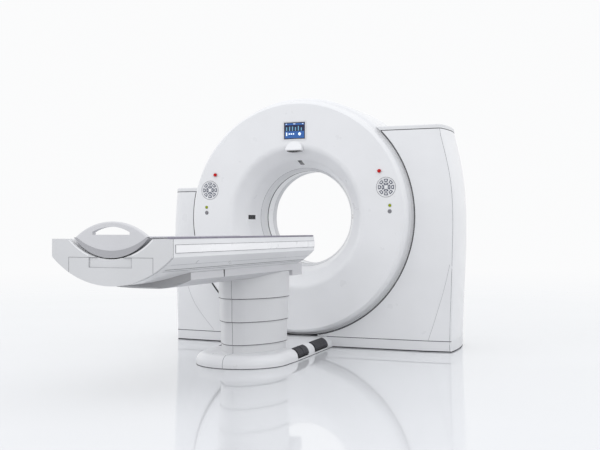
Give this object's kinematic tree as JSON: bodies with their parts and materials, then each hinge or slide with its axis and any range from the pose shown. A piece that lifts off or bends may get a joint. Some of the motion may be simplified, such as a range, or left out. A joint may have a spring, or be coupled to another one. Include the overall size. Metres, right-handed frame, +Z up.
{
  "type": "ct scanner",
  "caption": "Medical CT scanner: a tilting ring with a round patient bore between two side covers, and a lifting patient table with a sliding cradle.",
  "frame": {"origin": "on the floor, straight below the isocentre, which is the crossing of the bore axis and the tilt axis", "axes": "+Z up, +Y from the table into the bore, +X to the right of someone who faces the ring from the table"},
  "size_m": [2.5141, 3.46, 2.031],
  "materials": {
    "cover_white": "satin",
    "cover_grey": "satin",
    "collar_grey": "satin",
    "tunnel_pale": "satin",
    "kick_grey": "satin",
    "bezel_grey": "matte",
    "screen_blue": "gloss",
    "window_dark": "gloss",
    "keypad_grey": "matte",
    "stop_red": "gloss",
    "start_green": "gloss",
    "hold_grey": "gloss",
    "frame_steel": "satin",
    "cast_frame": "satin",
    "machined_steel": "satin",
    "bronze_bush": "satin",
    "lead_housing": "satin",
    "unit_grey": "satin",
    "slip_copper": "satin",
    "stator_dark": "satin",
    "column_white": "satin",
    "strip_white": "satin",
    "guard_dark": "matte",
    "cradle_white": "satin",
    "mat_grey": "matte",
    "handle_grey": "satin",
    "pedal_rubber": "matte"
  },
  "bodies": {
    "gantry": {"floor_frame": "frame_steel", "gantry_stands": "frame_steel", "trunnion_bushes": "bronze_bush", "tilt_gearmotor": "stator_dark", "left_cover": "cover_white", "right_cover": "cover_white", "rear_covers": "cover_white", "top_caps": "cover_white", "kick_panels": "kick_grey", "table_floor_plate": "frame_steel", "table_base_cover": "cover_white", "column_cover_fixed": "column_white", "lift_tube_outer": "machined_steel", "lift_motor": "stator_dark"},
    "ring": {"tilt_frame": "cast_frame", "bearing_outer_ring": "machined_steel", "drive_stator": "stator_dark", "brush_block": "stator_dark", "front_cover": "cover_white", "ring_shell": "cover_white", "ring_rear_cover": "cover_white", "bore_collars": "collar_grey", "bore_tunnel": "tunnel_pale", "display_bezel": "bezel_grey", "display_screen": "screen_blue", "sensor_shade": "cover_white", "sensor_windows": "window_dark", "keypads": "keypad_grey"},
    "rotor": {"rotor_drum": "cast_frame", "bearing_inner_ring": "machined_steel", "slip_ring": "slip_copper", "xray_tube": "lead_housing", "collimator": "lead_housing", "generator_and_cooler": "unit_grey", "detector_arc": "unit_grey"},
    "column_lower": {"column_cover_lower": "column_white"},
    "column_middle": {"column_cover_middle": "column_white", "lift_tube_middle": "machined_steel"},
    "tabletop": {"column_cover_top": "column_white", "lift_tube_inner": "machined_steel", "carriage_cover": "cover_grey", "belly_cover": "cover_grey", "table_housing": "cover_white", "foot_cap": "cover_white", "foot_panel": "cover_white", "side_strips": "strip_white", "edge_guard": "guard_dark"},
    "cradle_slide": {"cradle": "cradle_white", "mat": "mat_grey", "handle": "handle_grey"},
    "emergency_stop_left": {"emergency_stop_left": "stop_red"},
    "emergency_stop_right": {"emergency_stop_right": "stop_red"},
    "green_button_left": {"green_button_left": "start_green"},
    "green_button_right": {"green_button_right": "start_green"},
    "grey_button_left": {"grey_button_left": "hold_grey"},
    "grey_button_right": {"grey_button_right": "hold_grey"},
    "height_pedal_left": {"height_pedal_left": "pedal_rubber"},
    "height_pedal_right": {"height_pedal_right": "pedal_rubber"},
    "release_pedal_left": {"release_pedal_left": "pedal_rubber"},
    "release_pedal_right": {"release_pedal_right": "pedal_rubber"}
  },
  "joints": [
    {"name": "gantry_tilt", "type": "hinge", "parent": "gantry", "child": "ring", "pos_m": [0, 0, 1.055], "axis": [1, 0, 0], "range_deg": [-30, 30]},
    {"name": "rotor_spin", "type": "hinge", "parent": "ring", "child": "rotor", "pos_m": [0, 0, 1.055], "axis": [0, 1, 0], "continuous": true},
    {"name": "table_lift", "type": "slide", "parent": "gantry", "child": "tabletop", "axis": [0, 0, 1], "range_m": [-0.33, 0.02]},
    {"name": "column_lower_slide", "type": "slide", "parent": "gantry", "child": "column_lower", "axis": [0, 0, 1], "range_m": [-0.0515, 0.0035]},
    {"name": "column_middle_slide", "type": "slide", "parent": "gantry", "child": "column_middle", "axis": [0, 0, 1], "range_m": [-0.2122, 0.0132]},
    {"name": "cradle_travel", "type": "slide", "parent": "tabletop", "child": "cradle_slide", "axis": [0, 1, 0], "range_m": [0, 1.55]},
    {"name": "emergency_stop_left_push", "type": "slide", "parent": "ring", "child": "emergency_stop_left", "axis": [0, 1, 0], "range_m": [0, 0.004], "stiffness_N_per_m": 1500, "springref_m": -0.002},
    {"name": "emergency_stop_right_push", "type": "slide", "parent": "ring", "child": "emergency_stop_right", "axis": [0, 1, 0], "range_m": [0, 0.004], "stiffness_N_per_m": 1500, "springref_m": -0.002},
    {"name": "green_button_left_push", "type": "slide", "parent": "ring", "child": "green_button_left", "axis": [0, 1, 0], "range_m": [0, 0.0025], "stiffness_N_per_m": 900, "springref_m": -0.002},
    {"name": "green_button_right_push", "type": "slide", "parent": "ring", "child": "green_button_right", "axis": [0, 1, 0], "range_m": [0, 0.0025], "stiffness_N_per_m": 900, "springref_m": -0.002},
    {"name": "grey_button_left_push", "type": "slide", "parent": "ring", "child": "grey_button_left", "axis": [0, 1, 0], "range_m": [0, 0.0025], "stiffness_N_per_m": 900, "springref_m": -0.002},
    {"name": "grey_button_right_push", "type": "slide", "parent": "ring", "child": "grey_button_right", "axis": [0, 1, 0], "range_m": [0, 0.0025], "stiffness_N_per_m": 900, "springref_m": -0.002},
    {"name": "height_pedal_right_rock", "type": "hinge", "parent": "gantry", "child": "height_pedal_right", "pos_m": [0.2901, -1.02679, 0.042], "axis": [0.9987, 0.0512, 0], "range_deg": [-5, 5], "stiffness_Nm_per_rad": 30},
    {"name": "height_pedal_left_rock", "type": "hinge", "parent": "gantry", "child": "height_pedal_left", "pos_m": [-0.2901, -1.02679, 0.042], "axis": [-0.9987, 0.0512, 0], "range_deg": [-5, 5], "stiffness_Nm_per_rad": 30},
    {"name": "release_pedal_right_press", "type": "hinge", "parent": "gantry", "child": "release_pedal_right", "pos_m": [0.25109, -0.59766, 0.066], "axis": [-0.0512, 0.9987, 0], "range_deg": [0, 6], "stiffness_Nm_per_rad": 30, "springref_deg": -1.72},
    {"name": "release_pedal_left_press", "type": "hinge", "parent": "gantry", "child": "release_pedal_left", "pos_m": [-0.25109, -0.59766, 0.066], "axis": [-0.0512, -0.9987, 0], "range_deg": [0, 6], "stiffness_Nm_per_rad": 30, "springref_deg": -1.72}
  ],
  "couplings": [
    {"joint": "column_lower_slide", "follows": "table_lift", "ratio": 0.155},
    {"joint": "column_middle_slide", "follows": "table_lift", "ratio": 0.642}
  ]
}
